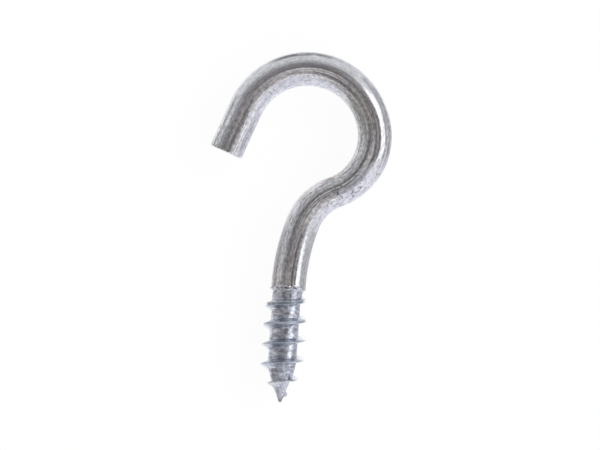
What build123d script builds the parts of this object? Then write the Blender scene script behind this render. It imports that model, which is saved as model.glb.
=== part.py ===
from build123d import *
from math import ceil, cos, pi, radians, sin, sqrt, tan
import os

# A screw hook: one length of round wire, bent to an open hook at one end and
# rolled to a wood-screw thread with a gimlet point at the other.
# The hook lies flat in the XY plane. The origin is on the thread's axis, at
# the shoulder where the plain wire ends. +Y runs up the shank to the hook and
# -Y down the thread to the point. Lengths are millimetres, angles are degrees.

# Wire
wire_diameter = 4.0

# Hook from the shoulder up: a short straight, then the inner radius and turn of
# each bend, then the straight tail
lead_length = 0.3
shank_inner_radius = 22.4
shank_turn = 18.2
neck_inner_radius = 4.4
neck_turn = 48.3
heel_inner_radius = 4.95
heel_turn = 72.5
loop_inner_radius = 5.95
loop_turn = 153.6
tail_length = 5.65
tail_chamfer = 0.15

# Threaded end, measured from the shoulder along -Y
threaded_length = 13.35
thread_root_depth = 0.33
thread_crest_rise = 0.55
thread_pitch = 2.33
thread_flank_angle = 25.0
thread_crest_flat = 0.1
thread_bite = 0.25

# Shoulder: a short cone down from the wire, then a slim taper to the root
shoulder_length = 0.3
shoulder_depth = 0.24
neck_length = 1.5

# Gimlet point: the root curves in and runs straight to a small round tip
point_half_angle = 21.0
point_blend_radius = 7.0
point_tip_radius = 0.2

# How the thread grows out of the shoulder and fades on to the point. It starts
# at thread_start below the shoulder, at an angle about the axis from +Z to +X
thread_start = 0.35
thread_start_angle = 198.0
start_crest_rise = 0.1
start_crest_flat = 0.4
run_in_length = 3.0
run_out_length = 3.8
fade_to_tip = 0.3
bare_tip_length = 0.53

# Sections that each loft passes through, after its first
steps_per_half_turn = 6
point_blend_steps = 4

# Sizes that follow from these
wire_radius = wire_diameter / 2
root_radius = wire_radius - thread_root_depth
crest_radius = wire_radius + thread_crest_rise
shoulder_radius = wire_radius - shoulder_depth
neck_end = shoulder_length + neck_length
blend_length = point_blend_radius * sin(radians(point_half_angle))
cone_radius = root_radius - point_blend_radius * (1 - cos(radians(point_half_angle)))
tip_edge_radius = point_tip_radius * cos(radians(point_half_angle))
tip_edge_depth = threaded_length - point_tip_radius * (1 - sin(radians(point_half_angle)))
cone_start = tip_edge_depth - (cone_radius - tip_edge_radius) / tan(radians(point_half_angle))
point_start = cone_start - blend_length
run_out_start = threaded_length - fade_to_tip - run_out_length
thread_turns = (threaded_length - bare_tip_length - thread_start) / thread_pitch


def root_at(depth):
    """Radius of the thread's root at a depth below the shoulder."""
    if depth < shoulder_length:
        return wire_radius - shoulder_depth * depth / shoulder_length
    if depth < neck_end:
        slope = (shoulder_radius - root_radius) / neck_length
        return shoulder_radius - slope * (depth - shoulder_length)
    if depth < point_start:
        return root_radius
    if depth < cone_start:
        past = depth - point_start
        return root_radius - point_blend_radius + sqrt(point_blend_radius**2 - past**2)
    return cone_radius - (depth - cone_start) * tan(radians(point_half_angle))


def crest_at(depth):
    """Radius of the thread's crest: it rises over the run-in and fades over the run-out."""
    if depth > run_out_start:
        left = max(0.0, threaded_length - fade_to_tip - depth) / run_out_length
        return root_at(depth) + (crest_radius - root_radius) * sqrt(left)
    grown = sin(pi / 2 * min(1.0, max(0.0, depth - thread_start) / run_in_length))
    return wire_radius + start_crest_rise + (thread_crest_rise - start_crest_rise) * grown


def crest_flat_at(depth):
    """Width of the crest: blunt where the thread starts, sharp after the run-in."""
    left = max(0.0, 1 - depth / run_in_length)
    return thread_crest_flat + (start_crest_flat - thread_crest_flat) * left


def thread_plane(turn):
    """Plane through the axis where the thread stands after this many turns, x outwards."""
    angle = radians(thread_start_angle - 360 * turn)
    outwards = Vector(sin(angle), 0, cos(angle))
    depth = thread_start + thread_pitch * turn
    return Plane(origin=(0, -depth, 0), x_dir=outwards, z_dir=outwards.cross(Vector(0, 1, 0)))


with BuildPart() as screw_hook:
    # The plain wire, bent in one plane
    with BuildLine() as wire_path:
        lead = Line((0, 0), (0, lead_length))
        shank = JernArc(lead @ 1, lead % 1, wire_radius + shank_inner_radius, -shank_turn)
        neck = JernArc(shank @ 1, shank % 1, wire_radius + neck_inner_radius, -neck_turn)
        heel = JernArc(neck @ 1, neck % 1, wire_radius + heel_inner_radius, heel_turn)
        loop = JernArc(heel @ 1, heel % 1, wire_radius + loop_inner_radius, loop_turn)
        tail = Line(loop @ 1, loop @ 1 + (loop % 1) * tail_length)
    with BuildSketch(Plane.XZ):
        Circle(wire_radius)
    sweep(path=wire_path.line)

    # The sheared end of the tail, its edge just broken
    tail_end = screw_hook.faces().filter_by(GeomType.PLANE).sort_by_distance(tail @ 1)[0]
    chamfer(tail_end.edges(), tail_chamfer)

    # Shoulder, taper and root of the threaded end, turned about the Y axis
    with BuildSketch(Plane.XY):
        with BuildLine():
            top = Line((0, 0), (wire_radius, 0))
            cone = Line(top @ 1, (shoulder_radius, -shoulder_length))
            taper = Line(cone @ 1, (root_radius, -neck_end))
            root = Line(taper @ 1, (root_radius, -point_start))
            Polyline(root @ 1, (0, -point_start), top @ 0)
        make_face()
    revolve(axis=Axis.Y)

    # The gimlet point: the root curves in, then runs straight to the round tip
    for step in range(point_blend_steps + 1):
        depth = point_start + blend_length * step / point_blend_steps
        with BuildSketch(Plane.XZ.offset(depth)):
            Circle(root_at(depth))
    loft()
    with BuildSketch(Plane.XY):
        with BuildLine():
            base = Line((0, -cone_start), (cone_radius, -cone_start))
            point = Line(base @ 1, (tip_edge_radius, -tip_edge_depth))
            tip = JernArc(point @ 1, point % 1, point_tip_radius, point_half_angle - 90)
            Line(tip @ 1, base @ 0)
        make_face()
    revolve(axis=Axis.Y)

    # The thread: a ridge carried round the root, half a turn to a loft
    pieces = ceil(2 * thread_turns)
    for piece in range(pieces):
        first_turn = thread_turns * piece / pieces
        last_turn = thread_turns * (piece + 1) / pieces
        for step in range(steps_per_half_turn + 1):
            turn = first_turn + (last_turn - first_turn) * step / steps_per_half_turn
            depth = thread_start + thread_pitch * turn
            foot = root_at(depth) - min(thread_bite, root_at(depth) / 2)
            crest = crest_at(depth)
            crest_half = crest_flat_at(depth) / 2
            foot_half = crest_half + (crest - foot) * tan(radians(thread_flank_angle))
            with BuildSketch(thread_plane(turn)):
                with BuildLine():
                    Polyline(
                        (foot, -foot_half),
                        (crest, -crest_half),
                        (crest, crest_half),
                        (foot, foot_half),
                        close=True,
                    )
                make_face()
        loft()

screw_hook.part.label = "screw_hook"
os.makedirs("parts", exist_ok=True)
export_step(screw_hook.part, "parts/screw_hook.step")

wire_length = sum(edge.length for edge in wire_path.edges())
print("solids", len(screw_hook.part.solids()), "valid", screw_hook.part.is_valid)
print("volume", round(screw_hook.part.volume, 3), "faces", len(screw_hook.part.faces()))
print("wire length", round(wire_length, 3), "thread turns", round(thread_turns, 3))
print("loop centre", loop.arc_center, "tail end", tail @ 1)
print("box", screw_hook.part.bounding_box())
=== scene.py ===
import math
from types import SimpleNamespace

import bpy
import numpy as np
from mathutils import Matrix


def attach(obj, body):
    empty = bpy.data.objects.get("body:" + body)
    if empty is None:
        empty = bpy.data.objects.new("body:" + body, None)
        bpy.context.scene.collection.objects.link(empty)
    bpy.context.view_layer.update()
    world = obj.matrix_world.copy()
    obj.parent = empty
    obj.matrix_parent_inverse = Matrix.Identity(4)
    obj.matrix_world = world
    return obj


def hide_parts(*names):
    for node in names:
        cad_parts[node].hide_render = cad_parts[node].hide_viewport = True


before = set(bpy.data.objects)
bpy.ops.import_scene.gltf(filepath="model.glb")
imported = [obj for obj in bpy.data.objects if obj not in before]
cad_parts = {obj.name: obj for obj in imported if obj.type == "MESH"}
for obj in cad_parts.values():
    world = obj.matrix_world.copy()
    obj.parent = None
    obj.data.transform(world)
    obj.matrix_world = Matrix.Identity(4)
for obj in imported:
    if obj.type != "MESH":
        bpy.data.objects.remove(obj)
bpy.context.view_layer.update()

MM = 0.001

# The bent wire, in the record's frame: millimetres and degrees. The origin is on the thread's axis at the
# shoulder, +Y runs up the shank and -Y down the thread.
WIRE_RADIUS = 2.0
LEAD_LENGTH = 0.3
BENDS = (  # centre-line radius and turn, left turns positive
    (24.4, -18.2),  # shank
    (6.4, -48.3),  # neck
    (6.95, 72.5),  # heel
    (7.95, 153.6),  # loop
)
TAIL_LENGTH = 5.65

# Its cut end: steps in from the wire's side and on from the cut's edge, down the broken edge and over the
# flat, which is slightly uneven
CUT_CHAMFER = 0.15
CUT_INWARD = np.array([0.015, 0.05, 0.1, 0.16, 0.25, 0.45, 0.8, 1.2, 1.6])
CUT_ONWARD = np.array([0.06, 0.11, 0.14, 0.15, 0.15, 0.15, 0.15, 0.15, 0.15])
CUT_UNEVEN = 0.02

# Where the wire isn't evenly round. A pair of distances is where a change starts and where it is complete
SWOLLEN = 0.03  # rolling the thread pushed this much up into the wire above it
SWOLLEN_ALONG = (9.0, 2.0)
SQUEEZE = 0.12  # the bending narrowed it by this much at SQUEEZE_AT, and less for SQUEEZE_REACH each way
SQUEEZE_AT = 13.6
SQUEEZE_REACH = 3.2
DRAWN_RIDGES = 0.008
DENTS = (  # middle s, degrees round the wire, half length, half width, and depth
    (13.4, 40, 1.3, 17, 0.03),
    (14.9, 62, 0.8, 12, 0.035),
    (17.3, 80, 0.9, 20, 0.03),
    (34.9, -72, 0.7, 14, 0.03),
    (46.6, -42, 1.0, 9, 0.03),
    (39.4, 62, 0.4, 9, 0.025),
)

# Shoulder, neck and point
SHOULDER_LENGTH = 0.3
SHOULDER_RADIUS = 1.76
SHOULDER_ARCH = 0.3  # its edge stands this much higher in front
SHOULDER_RAGGED = 0.085
BURR = 0.06  # how far the thin burr along that edge stands out
BURR_RAGGED = 0.075
BURR_WIDTH = 0.09
LEFT_BURR = 0.07  # more of it at the left
LEFT_BURR_PLACE = (0.0, -88, 9.0, 22)  # middle depth, degrees, half length, half width
NECK_END = 1.8
ROOT_RADIUS = 1.67
DIE_MARKS = 0.022
MARKS_DEPTH = (13.2, 11.0)
POINT_HALF_ANGLE = math.radians(21)
POINT_BLEND_RADIUS = 7.0
TIP_RADIUS = 0.2

# The rolled thread. A pair of turns is where a change starts and where it is complete
THREAD_LENGTH = 13.35
THREAD_PITCH = 2.33
THREAD_START = 0.35
START_ANGLE = math.radians(198)
CREST_RADIUS = 2.55
START_RISE = 0.1  # of the crest above the wire
RUN_IN = 3.0
RUN_OUT = 3.8
FADE_TO_TIP = 0.3
BARE_TIP = 0.53
WHOLE_TURNS = (THREAD_LENGTH - BARE_TIP - THREAD_START) / THREAD_PITCH
LEAD_WOBBLE = 0.145  # the rolled ridge runs lower on the right and higher on the left
LEAD_WANDER = 0.035
TIP_LIFT = 0.35  # the last turn falls this far short of the even lead
TIP_LIFT_TURNS = (4.4, 5.3)
CREST_RAGGED = 0.05
RAGGED_TURNS = (5.4, 4.6)
CREST_NICKS = 0.03
NICKED_TURNS = (3.5, 0.5)
FLANK_SLOPE = math.tan(math.radians(25))
THINNER = 0.2  # this much less slope at the right, where the dies pinched the blade
BLUNT_TURNS = (2.6, 0.4)
CREST_HALF_FLAT = 0.045
BLUNT_HALF_FLAT = 0.14  # more of it where the thread starts
SPLIT_DEPTH = 0.16  # of the groove along the blunt crest
SPLIT_WIDTH = 0.05
ROOT_HOLLOW = 0.22
# How far the painted shade at the ridge's foot reaches, and how much of it the lower foot gets
CORNER_REACH = 0.4
LOWER_CORNER = 0.15
RIDGE_REACH = 1.0  # no place farther than this from the ridge's middle belongs to it
RIDGE_HEIGHTS = (0.03, 0.25)  # above the bare root, where the plating turns to the ridge's
AXIS_SHIFT = -0.08  # the rolled part stands this far left of the wire's own axis
AXIS_SHIFT_TOP = (0.0, -1.5)  # distances along the wire, as below
AXIS_SHIFT_FOOT = (-THREAD_LENGTH, -10.5)
WIRE_SHIFT = 0.04  # and the wire just above it this far right
WIRE_SHIFT_TOP = (9.0, 1.0)
WIRE_SHIFT_FOOT = (-1.5, 0.0)

# How fine the mesh is
ROUND = 168  # points round the wire
WIRE_STEP = 0.17  # between rings along the wire
JOIN = 0.8  # how far up the wire the thread's grid reaches
FLANK_REACH = 0.62  # how far from the ridge's middle the close places go
FLANK_PLACES = 13
ROOT_PLACES = 12


def smooth(low, high, value):
    """Goes from 0 at low to 1 at high as 3t^2 - 2t^3, whichever of the two is larger."""
    t = np.clip((value - low) / (high - low), 0.0, 1.0)
    return t * t * (3.0 - 2.0 * t)


def soft_max(a, b, blend):
    """The larger of a and b, rounded over a band blend wide where they cross."""
    h = np.clip(blend - np.abs(a - b), 0.0, None) / blend
    return np.maximum(a, b) + h * h * blend / 4.0


def wavy(seed, *coordinates, octaves=3):
    """A smooth seeded noise of about -1 to 1.

    It adds sines with random slopes and phases, finer and fainter each octave.
    """
    draw = np.random.default_rng(seed)
    total = 0.0
    for octave in range(octaves):
        for _ in range(4):
            slopes = draw.normal(0.0, 1.0, len(coordinates)) * 2.0**octave
            phase = draw.uniform(0.0, 2.0 * math.pi)
            slope_sum = sum(k * c for k, c in zip(slopes, coordinates))
            total = total + np.sin(slope_sum + phase) / 2.0**octave
    return total / 4.0


def round_wire(angle, s, stretch, scale):
    """Coordinates for a noise on the wire: its section's circle and s over stretch, all times scale."""
    return (
        scale * WIRE_RADIUS * np.sin(angle),
        scale * WIRE_RADIUS * np.cos(angle),
        scale * s / stretch,
    )


def patch(angle, s, middle_s, middle_degrees, half_length, half_width):
    """A soft-edged oval on the wire: 1 inside, falling to 0 between 0.7 and 1.3 of its half sizes."""
    turned = angle - math.radians(middle_degrees)
    turned = np.arctan2(np.sin(turned), np.cos(turned))
    out = np.hypot((s - middle_s) / half_length, turned / math.radians(half_width))
    return smooth(1.3, 0.7, out)


def strongest(patches, angle, s):
    """The largest of the patches' strengths at each place, each times its oval, and 0 where none reaches."""
    found = np.zeros_like(angle)
    for *where, strength in patches:
        found = np.maximum(found, strength * patch(angle, s, *where))
    return found


def together(patches, angle, s):
    """The sum of the patches' strengths at each place, each times its oval."""
    found = np.zeros_like(angle)
    for *where, strength in patches:
        found = found + strength * patch(angle, s, *where)
    return found


class WirePath:
    """The wire's centre line as runs and arcs laid end to end, with s the distance from the shoulder in mm.

    Below the shoulder it is the straight thread axis. On an arc of curvature k the heading h turns by k s,
    and the place moves by (sin h1 - sin h0) / k along x and by (cos h0 - cos h1) / k along y.
    """

    def __init__(self):
        upright = 0.5 * math.pi
        self.rows = [(-math.inf, 0.0, 0.0, upright, 0.0)]
        x, y, heading, s = 0.0, LEAD_LENGTH, upright, LEAD_LENGTH
        for radius, turn in BENDS:
            curve = math.copysign(1.0 / radius, turn)
            self.rows.append((s, x, y, heading, curve))
            length = radius * math.radians(abs(turn))
            x, y, heading = self.along(x, y, heading, curve, length)
            s += length
        self.rows.append((s, x, y, heading, 0.0))
        self.length = s + TAIL_LENGTH

    @staticmethod
    def along(x, y, heading, curve, distance):
        """Place and heading after a distance on a run of constant curvature."""
        ahead = heading + curve * distance
        if curve:
            x = x + (np.sin(ahead) - np.sin(heading)) / curve
            y = y - (np.cos(ahead) - np.cos(heading)) / curve
        else:
            x = x + np.cos(heading) * distance
            y = y + np.sin(heading) * distance
        return x, y, ahead

    def at(self, s):
        """x, y and heading at every distance in the array s."""
        x, y, heading = np.zeros_like(s), np.zeros_like(s), np.zeros_like(s)
        for start, x0, y0, heading0, curve in self.rows:
            here = s >= start
            base = start if math.isfinite(start) else 0.0
            found = self.along(x0, y0, heading0, curve, s - base)
            for whole, part in zip((x, y, heading), found):
                whole[here] = np.broadcast_to(part, s.shape)[here]
        return x, y, heading


def wire_radius(angle, s):
    """Radius of the bent wire.

    It is round, a little swollen above the rolled thread and narrower in the plane of the bend where neck
    meets heel, with the long shallow ridges that a drawing die leaves and the dents of the bending tool.
    """
    squeezed = np.exp(-(((s - SQUEEZE_AT) / SQUEEZE_REACH) ** 2))
    narrower = SQUEEZE * squeezed * np.sin(angle) ** 2
    drawn = DRAWN_RIDGES * wavy(21, *round_wire(angle, s, 14.0, 3.0))
    dented = together(DENTS, angle, s) * (0.7 + 0.5 * wavy(22, *round_wire(angle, s, 1.0, 2.5)))
    swollen = SWOLLEN * smooth(*SWOLLEN_ALONG, s)
    return WIRE_RADIUS + swollen - narrower + drawn - dented


def root_radius(depth):
    """Radius under the ridge.

    From the wire down it is the shoulder's cone, the taper to the root, the arc into the point, the point's
    cone and its round tip.
    """
    blend_length = POINT_BLEND_RADIUS * math.sin(POINT_HALF_ANGLE)
    cone_radius = ROOT_RADIUS - POINT_BLEND_RADIUS * (1 - math.cos(POINT_HALF_ANGLE))
    tip_edge = TIP_RADIUS * math.cos(POINT_HALF_ANGLE)
    tip_depth = THREAD_LENGTH - TIP_RADIUS * (1 - math.sin(POINT_HALF_ANGLE))
    cone_start = tip_depth - (cone_radius - tip_edge) / math.tan(POINT_HALF_ANGLE)
    point_start = cone_start - blend_length
    top = np.interp(depth, (0.0, SHOULDER_LENGTH, NECK_END), (WIRE_RADIUS, SHOULDER_RADIUS, ROOT_RADIUS))
    past = np.clip(depth - point_start, 0.0, blend_length)
    arc = ROOT_RADIUS - POINT_BLEND_RADIUS + np.sqrt(POINT_BLEND_RADIUS**2 - past**2)
    cone = cone_radius - (depth - cone_start) * math.tan(POINT_HALF_ANGLE)
    ball = np.sqrt(np.clip(TIP_RADIUS**2 - (depth - THREAD_LENGTH + TIP_RADIUS) ** 2, 0.0, None))
    point = np.where(depth < cone_start, arc, np.where(depth < tip_depth, cone, ball))
    return np.where(depth < point_start, top, point)


def bare_radius(angle, depth):
    """The rolled part without its ridge.

    The shoulder's edge is ragged and stands higher in front. A thin burr lifts it before it drops to the
    neck. The neck and root carry the dies' shallow marks.
    """
    right, front = np.sin(angle), np.cos(angle)
    arch = -SHOULDER_ARCH * np.clip(front, 0.0, 1.0) ** 2
    edge = arch + SHOULDER_RAGGED * wavy(31, 9.0 * right, 9.0 * front)
    level = depth - edge * smooth(1.6, 0.0, depth)
    burr = BURR + BURR_RAGGED * wavy(32, 16.0 * right, 16.0 * front)
    burr = burr + LEFT_BURR * patch(angle, depth, *LEFT_BURR_PLACE)
    burr = np.clip(burr, 0.0, None) * np.exp(-(((level + 0.03) / BURR_WIDTH) ** 2))
    marks = DIE_MARKS * wavy(33, *round_wire(angle, depth, 1.0, 2.2))
    marks = marks * smooth(0.1, 0.6, level) * smooth(*MARKS_DEPTH, depth)
    above = wire_radius(angle, -depth) - WIRE_RADIUS
    return root_radius(level) + above * smooth(0.3, 0.0, level) + burr + marks


def ridge_depth(turn, angle):
    """Depth of the ridge's middle after a number of turns."""
    wander = LEAD_WANDER * wavy(41, 5.0 * turn)
    lift = TIP_LIFT * smooth(*TIP_LIFT_TURNS, turn)
    return THREAD_START + THREAD_PITCH * turn + LEAD_WOBBLE * np.sin(angle) + wander - lift


def ridge_crest(turn, depth):
    """Radius of the ridge's crest.

    It rises over the run-in as a quarter of a sine, and over the run-out it fades as the square root of what
    is left. It is ragged all along, with finer nicks in the first turns.
    """
    run_in = np.sin(0.5 * math.pi * np.clip((depth - THREAD_START) / RUN_IN, 0.0, 1.0))
    rise = START_RISE + (CREST_RADIUS - WIRE_RADIUS - START_RISE) * run_in
    faded_depth = THREAD_LENGTH - FADE_TO_TIP
    left = np.clip((faded_depth - depth) / RUN_OUT, 0.0, 1.0)
    faded = root_radius(depth) + (CREST_RADIUS - ROOT_RADIUS) * np.sqrt(left)
    grown = WIRE_RADIUS + rise * smooth(-0.04, 0.03, turn)
    crest = np.where(depth > faded_depth - RUN_OUT, faded, grown)
    nicks = CREST_NICKS * wavy(43, 60.0 * turn, octaves=2) * smooth(*NICKED_TURNS, turn)
    ragged = CREST_RAGGED * wavy(42, 8.0 * turn) + nicks
    return crest + ragged * smooth(*RAGGED_TURNS, turn)


def thread_radius(angle, depth):
    """Radius of the rolled part, and the shares of its painted foot shade and of its ridge, each from 0 to
    1.

    The radius is the bare root's, or the ridge's where it stands higher. The ridge falls off from its crest
    by the flanks' slope and runs into the root in a small hollow. Over its first turns its crest is blunt,
    and split along the middle where the two flanks have not yet closed. The painted shade darkens the
    ridge's foot in place of the shade in that hollow: its share is 1 where the upper flank and the root
    cross in front and behind, LOWER_CORNER at the lower one, and 0 at the sides or where they are
    CORNER_REACH apart. The ridge's share goes from 0 to 1 over RIDGE_HEIGHTS above the root.
    """
    bare = bare_radius(angle, depth)
    best = bare
    corner = np.zeros_like(best)
    facing = faces_up_or_down(angle)
    slope = FLANK_SLOPE - THINNER * smooth(-0.2, 0.9, np.sin(angle))
    fraction = ((START_ANGLE - angle) / (2.0 * math.pi)) % 1.0
    nearest = np.round((depth - THREAD_START - LEAD_WOBBLE * np.sin(angle)) / THREAD_PITCH - fraction)
    for shift in (-1.0, 0.0, 1.0):
        turn = fraction + nearest + shift
        middle = ridge_depth(turn, angle)
        away = np.abs(depth - middle)
        blunt = smooth(*BLUNT_TURNS, turn)
        flat = CREST_HALF_FLAT + BLUNT_HALF_FLAT * blunt
        split = SPLIT_DEPTH * blunt * np.exp(-((away / (SPLIT_WIDTH * (1.0 + blunt))) ** 2))
        height = ridge_crest(turn, middle) - np.clip(away - flat, 0.0, None) / slope - split
        there = smooth(-0.05, 0.0, turn) * smooth(WHOLE_TURNS + 0.05, WHOLE_TURNS - 0.02, turn)
        height = best + (height - best) * there
        close = (there > 0.0) & (away < RIDGE_REACH)
        nearness = np.clip(1.0 - np.abs(height - best) / CORNER_REACH, 0.0, 1.0)
        side = np.where(depth < middle, 1.0, LOWER_CORNER)
        corner = np.where(close, np.maximum(corner, nearness * there * side * facing), corner)
        best = np.where(close, soft_max(best, height, ROOT_HOLLOW), best)
    return best, corner, smooth(*RIDGE_HEIGHTS, best - bare)


def faces_up_or_down(angle):
    """1 over the wire's top and underside, falling to 0 at its two sides."""
    return smooth(0.1, 0.6, np.abs(np.cos(angle)))


def place(path, angle, s, radius):
    """Points at a radius from the centre line, sin(angle) of it right of the heading and cos(angle) up."""
    x, y, heading = path.at(s)
    x = x + AXIS_SHIFT * smooth(*AXIS_SHIFT_TOP, s) * smooth(*AXIS_SHIFT_FOOT, s)
    x = x + WIRE_SHIFT * smooth(*WIRE_SHIFT_FOOT, s) * smooth(*WIRE_SHIFT_TOP, s)
    out = radius * np.sin(angle)
    return np.stack([x + out * np.sin(heading), y - out * np.cos(heading), radius * np.cos(angle)], axis=-1)


def station_angle(station):
    """Angle of a station, ROUND of them to a turn, going round with the thread."""
    return START_ANGLE - 2.0 * math.pi * (station % ROUND) / ROUND


def wire_rings(path):
    """Angle, s and radius of the points from the join to the cut's middle, ring by ring.

    The rings go up the wire in even steps and then in over its cut end, which is slightly uneven.
    """
    cut_edge = path.length - CUT_CHAMFER
    up = np.linspace(JOIN, cut_edge, int((cut_edge - JOIN) / WIRE_STEP))
    level_s = np.concatenate([up, cut_edge + CUT_ONWARD - CUT_UNEVEN])
    level_in = np.concatenate([np.zeros_like(up), CUT_INWARD])
    angle, inward = np.meshgrid(station_angle(np.arange(ROUND)), level_in)
    from_middle = 2.5 * (WIRE_RADIUS - inward)
    uneven = CUT_UNEVEN * wavy(51, from_middle * np.sin(angle), from_middle * np.cos(angle))
    s = level_s[:, None] + uneven * smooth(0.1, 0.5, inward)
    return angle, s, wire_radius(angle, s) - inward


def thread_places():
    """Places across one pitch, as shares of it, packed close where the ridge's flanks stand."""
    side = np.concatenate([[0.03], np.linspace(0.06, FLANK_REACH, FLANK_PLACES)])
    rest = np.linspace(FLANK_REACH, THREAD_PITCH - FLANK_REACH, ROOT_PLACES)[1:-1]
    return np.concatenate([-side[::-1], [0.0], side, rest]) / THREAD_PITCH


def thread_strip():
    """A strip that winds down the axis: its stations, and the angle and depth of their places.

    Station k stands on the ridge's middle after k / ROUND turns, and its places lie at shares of the way to
    the ridge one turn on. It starts and ends two turns beyond the ridge.
    """
    station = np.arange(-2 * ROUND, math.ceil((WHOLE_TURNS + 2.0) * ROUND) + 1)
    angle = station_angle(station)
    middle = ridge_depth(station / ROUND, angle)
    following = ridge_depth(station / ROUND + 1.0, angle)
    depth = middle[:, None] + (following - middle)[:, None] * thread_places()[None, :]
    return station, np.broadcast_to(angle[:, None], depth.shape), depth


def quads_of(number):
    """The quads between neighbours in a grid of point numbers."""
    corners = [number[:-1, :-1], number[1:, :-1], number[1:, 1:], number[:-1, 1:]]
    return np.stack(corners, axis=-1).reshape(-1, 4)


def triangles_of(quads):
    """Two triangles to a quad, leaving out those whose corners are drawn together."""
    triangles = np.concatenate([quads[:, [0, 1, 2]], quads[:, [0, 2, 3]]])
    a, b, c = triangles.T
    return triangles[(a != b) & (b != c) & (c != a)]


def hook_skin(path):
    """One closed skin for the whole hook: points, triangles, and each point's angle, s, painted foot shade
    and ridge.

    The wire's rings and the thread's strip have the same angles. The strip's places above the join are drawn
    in to the join's ring and those below the tip to the tip, and the last place of one turn is the first of
    the next. The rings close round the wire and on the cut's middle.
    """
    ring_angle, ring_s, ring_radius = wire_rings(path)
    station, strip_angle, depth = thread_strip()
    above = depth <= -JOIN
    inside = ~above & (depth < THREAD_LENGTH)
    thread_angle, thread_depth = strip_angle[inside], depth[inside]
    rolled_radius, corner, ridge = thread_radius(thread_angle, thread_depth)

    ends = np.zeros(2)
    end_s = [path.length - CUT_UNEVEN, -THREAD_LENGTH]
    angle = np.concatenate([ring_angle.ravel(), thread_angle, ends])
    s = np.concatenate([ring_s.ravel(), -thread_depth, end_s])
    radius = np.concatenate([ring_radius.ravel(), rolled_radius, ends])
    corner = np.concatenate([np.zeros(ring_s.size), corner, ends])
    ridge = np.concatenate([np.zeros(ring_s.size), ridge, ends])

    cut_middle = ring_s.size + thread_depth.size
    tip = cut_middle + 1
    strip = np.where(above, station[:, None] % ROUND, tip)
    strip[inside] = ring_s.size + np.arange(thread_depth.size)
    strip = np.concatenate([strip[:-ROUND], strip[ROUND:, :1]], axis=1)
    rings = np.arange(ring_s.size).reshape(ring_s.shape)
    rings = np.concatenate([rings, np.full((1, ROUND), cut_middle)])
    rings = np.concatenate([rings, rings[:, :1]], axis=1)
    triangles = triangles_of(np.concatenate([quads_of(strip), quads_of(rings)]))
    return place(path, angle, s, radius), triangles, angle, s, corner, ridge


def make_mesh(name, points, triangles):
    """A smooth-shaded mesh object from whole arrays, with its place in its mesh."""
    mesh = bpy.data.meshes.new(name)
    mesh.vertices.add(len(points))
    mesh.vertices.foreach_set("co", (points * MM).astype(np.float32).ravel())
    mesh.loops.add(3 * len(triangles))
    mesh.loops.foreach_set("vertex_index", triangles.astype(np.int32).ravel())
    mesh.polygons.add(len(triangles))
    mesh.polygons.foreach_set("loop_start", np.arange(0, 3 * len(triangles), 3, dtype=np.int32))
    mesh.update(calc_edges=True)
    mesh.shade_smooth()
    mesh.validate()
    made = bpy.data.objects.new(name, mesh)
    bpy.context.scene.collection.objects.link(made)
    return made


def store(thing, name, kind, field, values):
    """Keeps one value or vector for each vertex, for the material to read."""
    layer = thing.data.attributes.new(name, kind, "POINT")
    layer.data.foreach_set(field, values.astype(np.float32).ravel())


# What the plating is like from place to place. A row is one soft oval: middle s, degrees round the wire from
# its top, half length, half width, and strength

# Matt bloom on the bends' pressed and stretched sides and at the point. The two rows at the neck are painted
# reflections instead: light pads where the neck catches the light
FROST_AND_SHEEN = (
    (14.0, 66, 6.5, 36, 0.85),
    (16.2, 16, 3.2, 20, 0.85),
    (31.5, 60, 4.5, 30, 0.55),
    (39.0, -62, 11.5, 36, 0.95),
    (6.0, -58, 6.0, 20, 0.5),
    (20.0, 175, 10.0, 45, 0.8),
    (41.0, 150, 8.0, 40, 0.7),
    # painted reflections: light pads on the neck
    (-0.7, 30, 0.6, 16, 0.6),
    (-0.8, -45, 0.5, 14, 0.6),
    (-11.9, 0, 1.6, 90, 0.6),
)
# Dark pits, most of them where the tool pressed the heel
PITS = (
    (14.3, 30, 3.0, 32, 1.0),
    (15.0, -2, 2.4, 18, 0.85),
    (15.5, 66, 5.5, 30, 0.75),
    (40.0, -62, 10.0, 30, 0.55),
    (26.0, 170, 12.0, 60, 0.35),
)
# Light lines that the bending tool rubbed into the top
RUBBED = (
    (13.5, -4, 8.5, 9, 1.0),
    (11.0, 9, 4.0, 7, 0.8),
    (35.0, -4, 6.5, 7, 1.0),
    (40.5, -16, 3.5, 12, 0.9),
    (3.0, -30, 4.0, 10, 0.7),
)
# Smooth from the die and the bending: the loop's outer side and the shank's right
POLISHED = (
    (34.5, 42, 10.5, 48, 1.0),
    (5.0, 58, 8.0, 34, 0.8),
)
POLISHED_BELOW = 0.5  # and all along below, where the photo doesn't look
# The long dark and light lines, as changes of tone: some are the drawn wire's own streaks, and many are
# painted highlights and painted shade that copy its reflections
LINES_AND_PAINTED_LIGHT = (
    (2.5, -64, 4.5, 14, -0.28),
    (3.0, 14, 5.0, 7, -0.3),
    (3.5, -22, 4.5, 5, -0.12),
    (9.0, -6, 3.5, 6, 0.38),
    (10.5, -47, 3.5, 5, 0.3),
    (14.0, -22, 2.5, 9, -0.15),
    (16.6, -55, 2.2, 12, -0.22),
    (16.5, 9, 5.0, 8, -0.24),
    (20.0, 19, 1.8, 6, -0.2),
    (22.5, 22, 1.4, 4, 0.2),
    (26.0, 13, 5.0, 6, 0.6),
    (27.5, 0, 5.0, 4, -0.25),
    (28.3, 30, 2.0, 7, -0.25),
    (27.0, -31, 3.2, 6, 0.25),
    (32.0, -17, 2.2, 6, -0.2),
    (33.0, -2, 4.5, 5, 0.3),
    (37.0, -14, 7.5, 5, -0.2),
    (41.5, -8, 4.5, 5, 0.5),
    (42.0, -17, 4.0, 5, -0.2),
    (41.0, -70, 4.0, 9, 0.15),
    (41.0, 72, 5.0, 9, 0.15),
    (46.5, -50, 2.0, 11, -0.22),
    (46.8, 46, 2.4, 20, 0.13),
    (-13.1, 45, 0.45, 70, -0.4),
)


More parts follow.
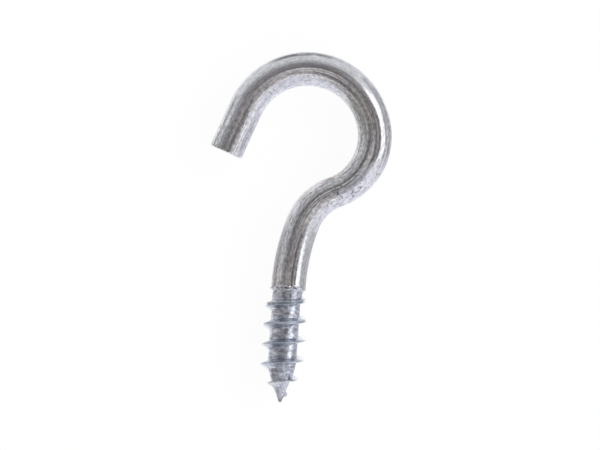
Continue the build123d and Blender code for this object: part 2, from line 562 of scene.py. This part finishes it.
path = WirePath()
points, triangles, angle, s, corner, ridge = hook_skin(path)
hook = make_mesh("hook_skin", points, triangles)
below = POLISHED_BELOW * smooth(0.5, -0.1, np.cos(angle))
shares = {
    "frost": strongest(FROST_AND_SHEEN, angle, s),
    "pits": strongest(PITS, angle, s),
    "rubbed": strongest(RUBBED, angle, s),
    "polished": np.maximum(strongest(POLISHED, angle, s), below),
    "rolled": smooth(0.1, -0.3, s),
    "ridge": ridge,
    # painted shade at the feet of the thread's ridges
    "corner": corner,
    # where the painted shade at the ridges' feet and their painted side highlight fall
    "facing": faces_up_or_down(angle),
    # the wire's own streaks, with painted highlights and painted shade
    "tone": 1.0 + together(LINES_AND_PAINTED_LIGHT, angle, s),
}
for name, values in shares.items():
    store(hook, name, "FLOAT", "value", values)
along_wire = np.stack([WIRE_RADIUS * np.sin(angle), s, WIRE_RADIUS * np.cos(angle)], axis=-1)
store(hook, "along_wire", "FLOAT_VECTOR", "vector", along_wire)


def colour(hexadecimal):
    """Linear colour with alpha from an sRGB hex string."""
    channels = [int(hexadecimal[i : i + 2], 16) / 255 for i in (0, 2, 4)]
    return tuple(c / 12.92 if c <= 0.04045 else ((c + 0.055) / 1.055) ** 2.4 for c in channels) + (1.0,)


def add_node(tree, kind, settings=None, **inputs):
    """A node of that kind with its settings and its inputs, each a value, or a node or socket to link from.

    An input goes by its name with _ for a space, the first one in use, or by _ and its number. A node to
    link from gives its first output in use.
    """
    node = tree.nodes.new(kind)
    for key, value in (settings or {}).items():
        setattr(node, key, value)
    for key, value in inputs.items():
        if key[0] == "_":
            socket = node.inputs[int(key[1:])]
        else:
            socket = next(i for i in node.inputs if i.enabled and i.name == key.replace("_", " "))
        if isinstance(value, bpy.types.Node):
            value = next(output for output in value.outputs if output.enabled)
        if isinstance(value, bpy.types.NodeSocket):
            tree.links.new(value, socket)
        else:
            socket.default_value = value
    return node


ADD = {"operation": "ADD"}
MULTIPLY = {"operation": "MULTIPLY"}
MULTIPLY_ADD = {"operation": "MULTIPLY_ADD"}
SUBTRACT_ABOVE_0 = {"operation": "SUBTRACT", "use_clamp": True}
EASED = {"interpolation_type": "SMOOTHSTEP"}
COLOURS = {"data_type": "RGBA"}
SHADED = {"data_type": "RGBA", "blend_type": "MULTIPLY"}

# The plating's patterns: size in mm, what distances across and along the wire are multiplied by, shift and
# detail. Lines run along it for fifty or sixty times their width. The deposit's real grain is a hundredth of
# these sizes, and is drawn this coarse to show
PATTERNS = {
    "broad_lines": (0.38, 1.0, 0.016, 3.1, 1.0),
    "fine_lines": (0.2, 1.0, 0.016, 3.1, 2.0),
    "scratches": (0.3, 1.0, 0.02, 0.0, 1.0),
    "grain": (0.24, 1.0, 0.5, 0.0, 3.0),
    "frosting": (0.33, 1.0, 0.6, 0.0, 4.0),
    "rolling": (0.34, 0.55, 1.0, 0.0, 4.0),
    "specks": (0.36, 1.0, 1.0, 0.0, 4.0),
    "cloud": (1.1, 1.0, 1.0, 0.0, 4.0),
}
RELIEF = 0.02  # mm from the plating's lowest to its highest


def drawn_colour(tree, share, pattern):
    """Colour of the drawn wire: warm and cool lines, dark scratches, light rubbed lines, and grain."""
    broad, fine = pattern.broad_lines, pattern.fine_lines
    warmth = add_node(tree, "ShaderNodeMapRange", EASED, Value=broad, From_Min=0.4, From_Max=0.6)
    metal = add_node(tree, "ShaderNodeMix", COLOURS, Factor=warmth, A=colour("DCE0E2"), B=colour("DFDADB"))
    tone = add_node(tree, "ShaderNodeMapRange", EASED, _0=fine, _1=0.33, _2=0.67, _3=0.7, _4=1.14)
    lined = add_node(tree, "ShaderNodeMix", SHADED, Factor=1.0, A=metal, B=tone)
    tone = add_node(tree, "ShaderNodeMapRange", EASED, _0=broad, _1=0.36, _2=0.6, _3=0.84, _4=1.05)
    lined = add_node(tree, "ShaderNodeMix", SHADED, Factor=1.0, A=lined, B=tone)
    scratches = pattern.scratches
    tone = add_node(tree, "ShaderNodeMapRange", EASED, _0=scratches, _1=0.62, _2=0.7, _3=0.0, _4=0.55)
    lined = add_node(tree, "ShaderNodeMix", COLOURS, Factor=tone, A=lined, B=colour("77737A"))
    plated = add_node(tree, "ShaderNodeMix", COLOURS, Factor=share.lines, A=colour("D2D4D7"), B=lined)
    tone = add_node(tree, "ShaderNodeMath", MULTIPLY, _0=share.rub_lines, _1=0.5)
    plated = add_node(tree, "ShaderNodeMix", COLOURS, Factor=tone, A=plated, B=colour("EEE8E4"))
    tone = add_node(tree, "ShaderNodeMapRange", EASED, _0=pattern.grain, _1=0.34, _2=0.66, _3=0.72, _4=1.22)
    grain_share = add_node(tree, "ShaderNodeMath", MULTIPLY_ADD, _0=share.polished, _1=-0.55, _2=1.0)
    return add_node(tree, "ShaderNodeMix", SHADED, Factor=grain_share, A=plated, B=tone)


def rolled_colour(tree, share, pattern):
    """Colour of the rolled thread: a mottled root, and blue-grey ridges with a painted highlight that makes
    them whiter at the wire's sides.
    """
    mottled = pattern.rolling
    whiter = add_node(tree, "ShaderNodeMapRange", EASED, Value=mottled, From_Min=0.35, From_Max=0.65)
    root = add_node(tree, "ShaderNodeMix", COLOURS, Factor=whiter, A=colour("989BAA"), B=colour("E4E8F2"))
    blade = add_node(tree, "ShaderNodeMix", COLOURS, Factor=whiter, A=colour("A3ABB7"), B=colour("C9CFD9"))
    # Painted highlight: the ridges turn whiter towards EDF0F4 at the wire's two sides
    blade = add_node(tree, "ShaderNodeMix", COLOURS, Factor=share.facing, A=colour("EDF0F4"), B=blade)
    return add_node(tree, "ShaderNodeMix", COLOURS, Factor=share.ridge, A=root, B=blade)


def bloom_colour(tree, pattern):
    """Colour of the matt bloom and of the neck's painted light pads: lavender-white and cloudy, with soft
    lines.
    """
    cloudy, fine = pattern.frosting, pattern.fine_lines
    whiter = add_node(tree, "ShaderNodeMapRange", EASED, Value=cloudy, From_Min=0.35, From_Max=0.65)
    matt = add_node(tree, "ShaderNodeMix", COLOURS, Factor=whiter, A=colour("D3D5DF"), B=colour("F5F5FA"))
    tone = add_node(tree, "ShaderNodeMapRange", EASED, _0=fine, _1=0.36, _2=0.6, _3=0.88, _4=1.03)
    return add_node(tree, "ShaderNodeMix", SHADED, Factor=1.0, A=matt, B=tone)


def plating_relief(tree, share, pattern):
    """Relief of the plating, in shares of RELIEF.

    It adds up the lines and the grain, with more of its own on the bloom and the rolled root, less the pits.
    """
    relief = add_node(tree, "ShaderNodeMath", MULTIPLY, _0=pattern.broad_lines, _1=0.5)
    relief = add_node(tree, "ShaderNodeMath", MULTIPLY_ADD, _0=pattern.fine_lines, _1=0.3, _2=relief)
    relief = add_node(tree, "ShaderNodeMath", MULTIPLY, _0=relief, _1=share.lines)
    relief = add_node(tree, "ShaderNodeMath", MULTIPLY_ADD, _0=pattern.grain, _1=0.2, _2=relief)
    rough = add_node(tree, "ShaderNodeMath", MULTIPLY, _0=share.bloom, _1=0.16)
    relief = add_node(tree, "ShaderNodeMath", MULTIPLY_ADD, _0=pattern.frosting, _1=rough, _2=relief)
    rough = add_node(tree, "ShaderNodeMath", MULTIPLY_ADD, _0=share.ridge, _1=-0.28, _2=0.4)
    rough = add_node(tree, "ShaderNodeMath", MULTIPLY, _0=share.rolled, _1=rough)
    relief = add_node(tree, "ShaderNodeMath", MULTIPLY_ADD, _0=pattern.rolling, _1=rough, _2=relief)
    relief = add_node(tree, "ShaderNodeMath", MULTIPLY_ADD, _0=share.pit_marks, _1=-1.0, _2=relief)
    return add_node(tree, "ShaderNodeBump", Strength=1.0, Distance=RELIEF * MM, Height=relief)


def zinc_plate():
    """Bright zinc electroplate with a clear blue passivate, on drawn steel wire.

    The eye gets a grey mirror drawn out in fine lines along the wire, warm and cool by turns, with a
    lavender-white grainy bloom and dark pits where the bending pressed or stretched it. The rolled thread is
    mottled between its ridges and a smoother blue-grey on them. Painted light lies in its colour too:
    painted highlights and shade in the tone along the wire, painted light pads on the neck, a painted
    highlight on the ridges at the wire's sides and painted shade at their feet.
    """
    material = bpy.data.materials.new("bright_zinc_plate")
    material.use_nodes = True
    tree = material.node_tree
    shader = tree.nodes["Principled BSDF"]
    share, pattern = SimpleNamespace(), SimpleNamespace()
    for name in shares:
        stored = add_node(tree, "ShaderNodeAttribute", {"attribute_name": name})
        setattr(share, name, stored.outputs["Fac"])
    spot = add_node(tree, "ShaderNodeAttribute", {"attribute_name": "along_wire"}).outputs["Vector"]
    for name, (size, across, along, shift, detail) in PATTERNS.items():
        scale, moved = (across, along, across), (shift, 0.0, 0.0)
        scaled = add_node(tree, "ShaderNodeVectorMath", MULTIPLY_ADD, _0=spot, _1=scale, _2=moved)
        noise = add_node(tree, "ShaderNodeTexNoise", Vector=scaled, Scale=1 / size, Detail=detail)
        setattr(pattern, name, noise)

    # The bloom has cloudy edges, and the lines hardly show on polished wire and not at all on the thread
    bloom = add_node(tree, "ShaderNodeMath", MULTIPLY_ADD, _0=pattern.cloud, _1=1.2, _2=-0.6)
    bloom = add_node(tree, "ShaderNodeMath", ADD, _0=bloom, _1=share.frost)
    share.bloom = add_node(tree, "ShaderNodeMapRange", EASED, Value=bloom, From_Min=0.3, From_Max=0.75)
    pits = add_node(tree, "ShaderNodeMath", MULTIPLY_ADD, _0=share.pits, _1=0.13, _2=-0.13)
    pits = add_node(tree, "ShaderNodeMath", ADD, _0=pattern.specks, _1=pits)
    share.pit_marks = add_node(tree, "ShaderNodeMapRange", EASED, Value=pits, From_Min=0.535, From_Max=0.69)
    fine = pattern.fine_lines
    rub_lines = add_node(tree, "ShaderNodeMapRange", EASED, _0=fine, _1=0.42, _2=0.6, _3=0.15, _4=1.0)
    share.rub_lines = add_node(tree, "ShaderNodeMath", MULTIPLY, _0=rub_lines, _1=share.rubbed)
    lines = add_node(tree, "ShaderNodeMath", MULTIPLY_ADD, _0=share.polished, _1=-0.8, _2=1.0)
    share.lines = add_node(tree, "ShaderNodeMath", SUBTRACT_ABOVE_0, _0=lines, _1=share.rolled)

    # The rolled colour lies over the drawn one, the bloom over both, and pits, tone with its painted
    # highlights and shade, and the painted shade at the ridges' feet over all
    plated = drawn_colour(tree, share, pattern)
    rolled = rolled_colour(tree, share, pattern)
    tone = add_node(tree, "ShaderNodeMath", MULTIPLY, _0=share.rolled, _1=0.85)
    plated = add_node(tree, "ShaderNodeMix", COLOURS, Factor=tone, A=plated, B=rolled)
    matt = bloom_colour(tree, pattern)
    plated = add_node(tree, "ShaderNodeMix", COLOURS, Factor=share.bloom, A=plated, B=matt)
    plated = add_node(tree, "ShaderNodeMix", COLOURS, Factor=share.pit_marks, A=plated, B=colour("75767F"))
    # Tone: the wire's own light and dark streaks, and painted highlights and painted shade
    plated = add_node(tree, "ShaderNodeMix", SHADED, Factor=1.0, A=plated, B=share.tone)
    # Painted shade: the feet of the thread's ridges darken towards 48505A, most at the upper foot and over
    # the wire's top and underside
    dark = add_node(tree, "ShaderNodeMath", {"operation": "POWER"}, _0=share.corner, _1=1.5)
    dark = add_node(tree, "ShaderNodeMath", MULTIPLY, _0=dark, _1=0.5)
    plated = add_node(tree, "ShaderNodeMix", COLOURS, Factor=dark, A=plated, B=colour("48505A"))
    tree.links.new(plated.outputs[2], shader.inputs["Base Color"])
    shader.inputs["Metallic"].default_value = 1.0

    roughness = add_node(tree, "ShaderNodeMapRange", EASED, _0=fine, _1=0.35, _2=0.65, _3=0.15, _4=0.27)
    for where, more in ((share.bloom, 0.28), (share.rub_lines, 0.4), (share.rolled, 0.1)):
        roughness = add_node(tree, "ShaderNodeMath", MULTIPLY_ADD, _0=where, _1=more, _2=roughness)
    tree.links.new(roughness.outputs[0], shader.inputs["Roughness"])
    bump = plating_relief(tree, share, pattern)
    tree.links.new(bump.outputs["Normal"], shader.inputs["Normal"])
    return material


hook.data.materials.append(zinc_plate())
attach(hook, "root")
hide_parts("screw_hook")

# The photo is taken from straight above, with the thread's axis leaning by LEAN
PHOTO_WIDTH = 600
PHOTO_HEIGHT = 450
MM_PER_PIXEL = 0.1176
SHOULDER_PIXEL = (287.8, 289.0)
LEAN = math.radians(4.1)
CAMERA_DISTANCE = 600.0
FLOOR_HALF = 600.0


def white_board():
    """Matt white board. The camera sees it white, with the hook's soft shadow on it.

    Metal sees the room's own glow there instead of it, so that it shows the pale surroundings from below.
    """
    material = bpy.data.materials.new("matt_white_board")
    material.use_nodes = True
    tree = material.node_tree
    tree.nodes.clear()
    rays = add_node(tree, "ShaderNodeLightPath").outputs
    board = add_node(tree, "ShaderNodeBsdfDiffuse", Color=colour("F4F4F4"))
    shaded = add_node(tree, "ShaderNodeBsdfDiffuse", Color=colour("606060"))
    glow = add_node(tree, "ShaderNodeEmission", Color=colour("FFFFFF"), Strength=0.93)
    seen = add_node(tree, "ShaderNodeAddShader", _0=glow, _1=shaded)
    clear = add_node(tree, "ShaderNodeBsdfTransparent")
    rest = {"_0": rays["Is Glossy Ray"], "_1": rays["Is Transmission Ray"]}
    mirrored = add_node(tree, "ShaderNodeMath", {"operation": "MAXIMUM"}, **rest)
    unseen = add_node(tree, "ShaderNodeMixShader", _0=mirrored, _1=board, _2=clear)
    surface = add_node(tree, "ShaderNodeMixShader", _0=rays["Is Camera Ray"], _1=unseen, _2=seen)
    add_node(tree, "ShaderNodeOutputMaterial", Surface=surface)
    return material


square = np.array([(-1, -1, 0), (1, -1, 0), (1, 1, 0), (-1, 1, 0)]) * FLOOR_HALF - (0, 0, CREST_RADIUS)
floor = make_mesh("floor", square, np.array([(0, 1, 2), (0, 2, 3)]))
floor.data.materials.append(white_board())

# A height in the room is 1 at the zenith, 0 at the horizon and -1 straight down. Two of them make a soft
# edge, the higher first. The board takes over from the room at BOARD_EDGE
BOARD_EDGE = (-0.45, -0.75)
NO_TOP = (2.0, 1.0)
NO_FOOT = (-1.0, -2.0)

# What stands round the hook: azimuth in degrees from the photo's right, full within and gone beyond so many
# degrees of it, its top and foot, and its radiance
PANELS = (
    (80, 26, 60, (0.9, 0.2), BOARD_EDGE, (0.9, 0.9, 0.91)),  # far wall
    (297, 41, 59, (0.98, 0.68), BOARD_EDGE, (0.92, 0.93, 0.97)),  # white reflector leaning in, near side
    (285, 45, 72, (0.3, -0.1), BOARD_EDGE, (0.93, 0.93, 0.97)),  # its lower edge
    (245, 18, 41, (0.2, -0.15), NO_FOOT, (1.05, 1.05, 1.07)),  # its bright end
    (202, 11, 26, NO_TOP, (-0.15, -0.5), (0.4, 0.385, 0.37)),  # dark corner at the left
    (128, 18, 38, (0.35, 0.0), BOARD_EDGE, (0.96, 0.96, 0.99)),  # light wall at the far left
    (90, 14, 30, (-0.18, -0.28), (-0.6, -0.75), (0.3, 0.3, 0.31)),  # dark edge of the table, far side
    (174, 14, 30, (0.0, -0.1), (-0.28, -0.42), (0.38, 0.38, 0.39)),  # and at the left
    (18, 18, 45, (0.3, 0.0), BOARD_EDGE, (0.56, 0.57, 0.6)),  # grey table at the right
    (356, 14, 26, (-0.2, -0.5), NO_FOOT, (0.66, 0.665, 0.68)),  # its near part
    (60, 26, 53, (-0.84, -0.94), NO_FOOT, (1.25, 1.25, 1.25)),  # the board where the window lights it
    (36, 10, 22, (0.78, 0.62), (0.28, 0.14), (1.3, 1.31, 1.32)),  # the window's far end
)
CEILING = (0.25, 0.235, 0.245, 1.0)
WALLS = (0.78, 0.785, 0.8, 1.0)
BOARD = (1.05, 1.05, 1.06, 1.0)
CAMERA_HOOD = (0.46, 0.44, 0.43, 1.0)
HOOD_AIM = (0.0, -0.06, 0.998)


def soft_studio():
    """A pale room with a dim ceiling and the camera's lighter hood in it, over a white board.

    Its walls grow lighter towards the horizon, with PANELS on them. Camera rays see it white. Directions
    are turned by the lean, so that azimuth 0 is the photo's right and 90 its top.
    """
    world = bpy.data.worlds.new("soft_studio")
    world.use_nodes = True
    tree = world.node_tree
    tree.nodes.clear()
    outwards = add_node(tree, "ShaderNodeTexCoord").outputs["Generated"]
    turned = {"rotation_type": "Z_AXIS"}
    outwards = add_node(tree, "ShaderNodeVectorRotate", turned, Vector=outwards, Angle=-LEAN)
    height = add_node(tree, "ShaderNodeSeparateXYZ", Vector=outwards).outputs["Z"]
    level = add_node(tree, "ShaderNodeVectorMath", MULTIPLY, _0=outwards, _1=(1.0, 1.0, 0.0))
    level = add_node(tree, "ShaderNodeVectorMath", {"operation": "NORMALIZE"}, _0=level)

    share = add_node(tree, "ShaderNodeMapRange", EASED, Value=height, From_Min=0.95, From_Max=0.0)
    room = add_node(tree, "ShaderNodeMix", COLOURS, Factor=share, A=CEILING, B=WALLS)
    starts, covers = BOARD_EDGE
    share = add_node(tree, "ShaderNodeMapRange", EASED, Value=height, From_Min=starts, From_Max=covers)
    room = add_node(tree, "ShaderNodeMix", COLOURS, Factor=share, A=room, B=BOARD)
    for azimuth, full, gone, top, foot, radiance in PANELS:
        aim = (math.cos(math.radians(azimuth)), math.sin(math.radians(azimuth)), 0.0)
        near, far = math.cos(math.radians(full)), math.cos(math.radians(gone))
        beside = add_node(tree, "ShaderNodeVectorMath", {"operation": "DOT_PRODUCT"}, _0=level, _1=aim)
        share = add_node(tree, "ShaderNodeMapRange", EASED, Value=beside, From_Min=far, From_Max=near)
        for out, inside in (top, foot[::-1]):
            edge = add_node(tree, "ShaderNodeMapRange", EASED, Value=height, From_Min=out, From_Max=inside)
            share = add_node(tree, "ShaderNodeMath", MULTIPLY, _0=share, _1=edge)
        room = add_node(tree, "ShaderNodeMix", COLOURS, Factor=share, A=room, B=radiance + (1.0,))
    share = add_node(tree, "ShaderNodeVectorMath", {"operation": "DOT_PRODUCT"}, _0=outwards, _1=HOOD_AIM)
    share = add_node(tree, "ShaderNodeMapRange", EASED, Value=share, From_Min=0.98, From_Max=0.997)
    room = add_node(tree, "ShaderNodeMix", COLOURS, Factor=share, A=room, B=CAMERA_HOOD)
    seen = add_node(tree, "ShaderNodeLightPath").outputs["Is Camera Ray"]
    room = add_node(tree, "ShaderNodeMix", COLOURS, Factor=seen, A=room, B=(1.0, 1.0, 1.0, 1.0))
    back = add_node(tree, "ShaderNodeBackground", Color=room, Strength=1.0)
    add_node(tree, "ShaderNodeOutputWorld", Surface=back)
    return world


bpy.context.scene.world = soft_studio()


def soft_box(name, azimuth, tilt, roll, distance, width, height, radiance):
    """A rectangular lamp facing the hook, rolled about its own middle.

    Its power is radiance times pi times its area, which gives that radiance.
    """
    lamp = bpy.data.lights.new(name, "AREA")
    lamp.shape = "RECTANGLE"
    lamp.size = width * MM
    lamp.size_y = height * MM
    lamp.energy = radiance * math.pi * width * height * MM * MM
    made = bpy.data.objects.new(name, lamp)
    bpy.context.scene.collection.objects.link(made)
    turns = ((math.radians(azimuth) + LEAN, "Z"), (math.radians(tilt), "Y"), (math.radians(roll), "Z"))
    facing = Matrix.Identity(4)
    for turn, axis in turns:
        facing = facing @ Matrix.Rotation(turn, 4, axis)
    made.matrix_world = facing @ Matrix.Translation((0.0, 0.0, distance * MM))


soft_box("window", azimuth=12.5, tilt=56.5, roll=12, distance=400, width=195, height=340, radiance=1.4)


def photo_point(column, row):
    """x and y under a pixel of the photo: its offset from the shoulder in mm, turned back by the lean."""
    right = (column - SHOULDER_PIXEL[0]) * MM_PER_PIXEL
    up = (SHOULDER_PIXEL[1] - row) * MM_PER_PIXEL
    return (
        right * math.cos(LEAN) - up * math.sin(LEAN),
        right * math.sin(LEAN) + up * math.cos(LEAN),
    )


lens = bpy.data.cameras.new("camera")
lens.sensor_fit = "HORIZONTAL"
lens.sensor_width = 36.0
lens.lens = lens.sensor_width * CAMERA_DISTANCE / (PHOTO_WIDTH * MM_PER_PIXEL)
lens.clip_start = 0.01
camera = bpy.data.objects.new("camera", lens)
bpy.context.scene.collection.objects.link(camera)
centre = photo_point(PHOTO_WIDTH / 2, PHOTO_HEIGHT / 2)
camera.location = (centre[0] * MM, centre[1] * MM, CAMERA_DISTANCE * MM)
camera.rotation_euler = (0.0, 0.0, LEAN)
bpy.context.scene.camera = camera

bpy.context.scene.view_settings.view_transform = "Standard"
